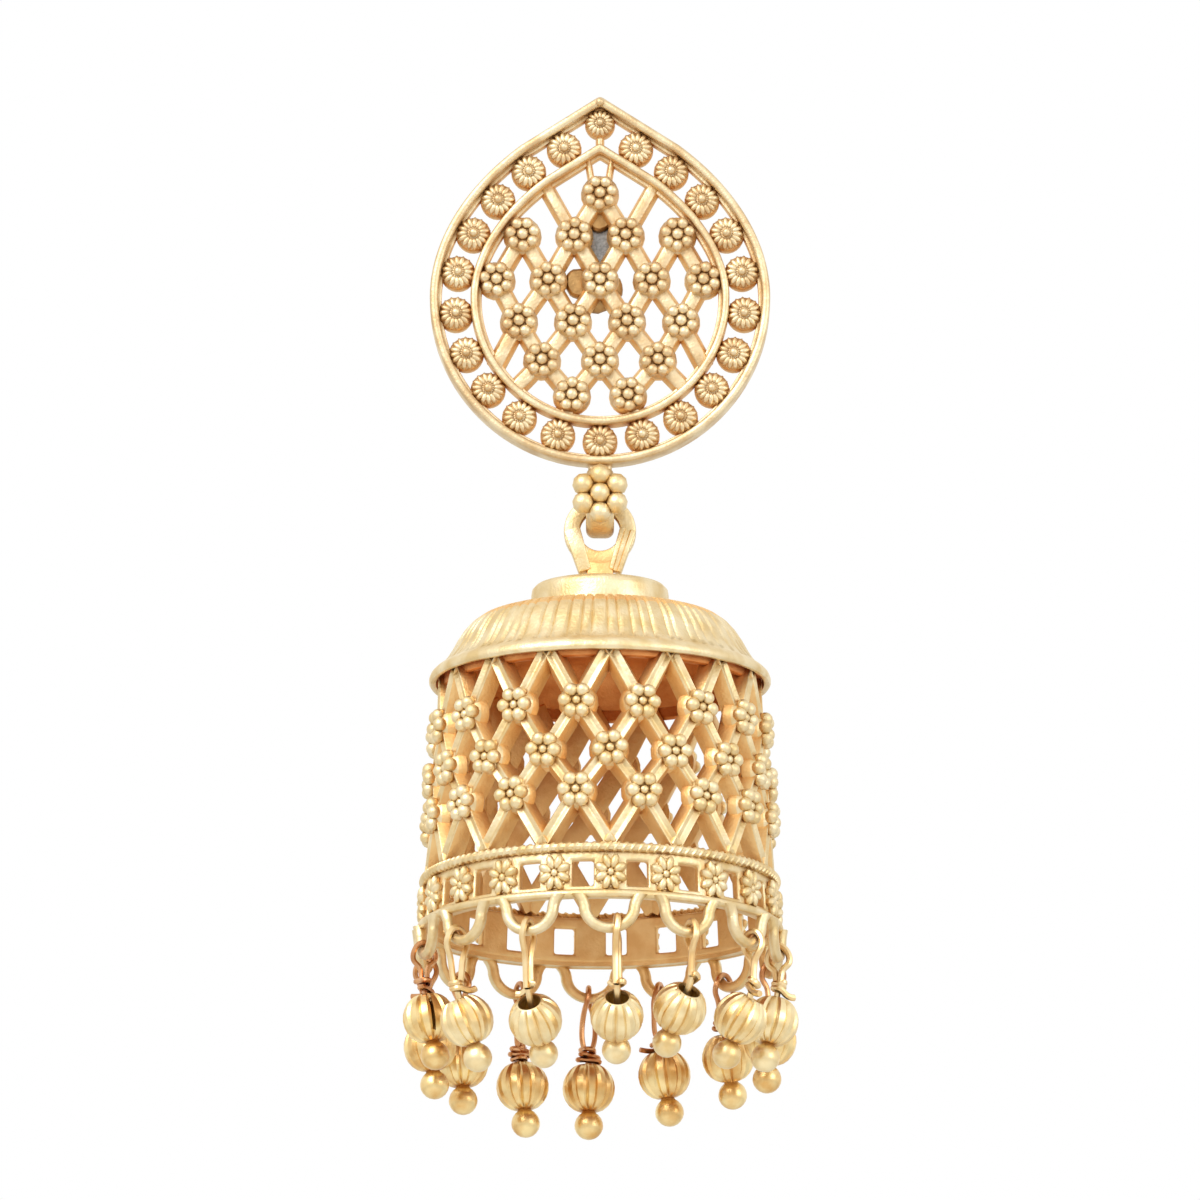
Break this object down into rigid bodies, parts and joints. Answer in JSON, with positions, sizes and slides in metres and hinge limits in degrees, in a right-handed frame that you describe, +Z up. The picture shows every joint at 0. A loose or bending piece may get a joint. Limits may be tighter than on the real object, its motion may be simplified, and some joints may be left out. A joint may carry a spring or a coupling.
{
  "type": "jhumka earring",
  "caption": "Drop earring: a pierced teardrop ear plate on a post, with a caged bell that swings from its loop and is fringed with ribbed bead drops.",
  "frame": {"origin": "on the post's axis at the back of its pad, where the earring is pinned on", "axes": "+Z up along the hanging earring, +Y along the post into the ear, +X to the right of who looks at the plate's face"},
  "size_m": [0.0223, 0.0228, 0.0587],
  "materials": {
    "cast_gold": "matte gold plate on cast brass",
    "bead_gold": "satin gold plate on thin brass sheet",
    "copper_wire": "drawn wire with worn gold plate, coppery",
    "post_steel": "drawn steel, bare"
  },
  "bodies": {
    "stud": {"ear_plate": "cast_gold", "ear_post": "post_steel"},
    "jhumka": {"bell_cap": "cast_gold", "bell_cage": "cast_gold", "drop_wire_01": "copper_wire", "drop_wire_02": "copper_wire", "drop_wire_03": "copper_wire", "drop_wire_04": "copper_wire", "drop_wire_05": "copper_wire", "drop_wire_06": "copper_wire", "drop_wire_07": "copper_wire", "drop_wire_08": "copper_wire", "drop_wire_09": "copper_wire", "drop_wire_10": "copper_wire", "drop_wire_11": "copper_wire", "drop_wire_12": "copper_wire", "drop_wire_13": "copper_wire", "drop_wire_14": "copper_wire", "melon_bead_01": "bead_gold", "melon_bead_02": "bead_gold", "melon_bead_03": "bead_gold", "melon_bead_04": "bead_gold", "melon_bead_05": "bead_gold", "melon_bead_06": "bead_gold", "melon_bead_07": "bead_gold", "melon_bead_08": "bead_gold", "melon_bead_09": "bead_gold", "melon_bead_10": "bead_gold", "melon_bead_11": "bead_gold", "melon_bead_12": "bead_gold", "melon_bead_13": "bead_gold", "melon_bead_14": "bead_gold", "end_ball_01": "bead_gold", "end_ball_02": "bead_gold", "end_ball_03": "bead_gold", "end_ball_04": "bead_gold", "end_ball_05": "bead_gold", "end_ball_06": "bead_gold", "end_ball_07": "bead_gold", "end_ball_08": "bead_gold", "end_ball_09": "bead_gold", "end_ball_10": "bead_gold", "end_ball_11": "bead_gold", "end_ball_12": "bead_gold", "end_ball_13": "bead_gold", "end_ball_14": "bead_gold"}
  },
  "joints": [
    {"name": "bell_swing", "type": "hinge", "parent": "stud", "child": "jhumka", "pos_m": [0, -0.00085, -0.01682], "axis": [0, 1, 0], "range_deg": [-45, 45]}
  ]
}
